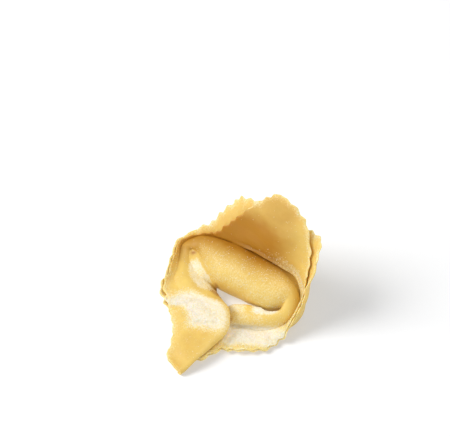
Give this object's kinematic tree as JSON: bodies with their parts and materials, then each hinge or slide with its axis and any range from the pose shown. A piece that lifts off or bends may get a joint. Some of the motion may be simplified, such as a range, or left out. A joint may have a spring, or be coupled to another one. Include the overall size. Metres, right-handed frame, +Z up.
{
  "type": "tortellini",
  "caption": "Ring-shaped stuffed pasta folded from a pinked square of egg dough, with a raised collar, an open middle and one wing pressed over the other.",
  "frame": {"origin": "bottom centre of the bounding box, on the surface the piece rests on", "axes": "+X to the right as the piece is seen with its collar at the back, -Y to the front, where the wings cross, +Z up from the surface"},
  "size_m": [0.0442, 0.0448, 0.0357],
  "materials": {
    "dough": "matt, dusted with flour"
  },
  "bodies": {
    "root": {"tortellino": "dough"}
  },
  "joints": []
}
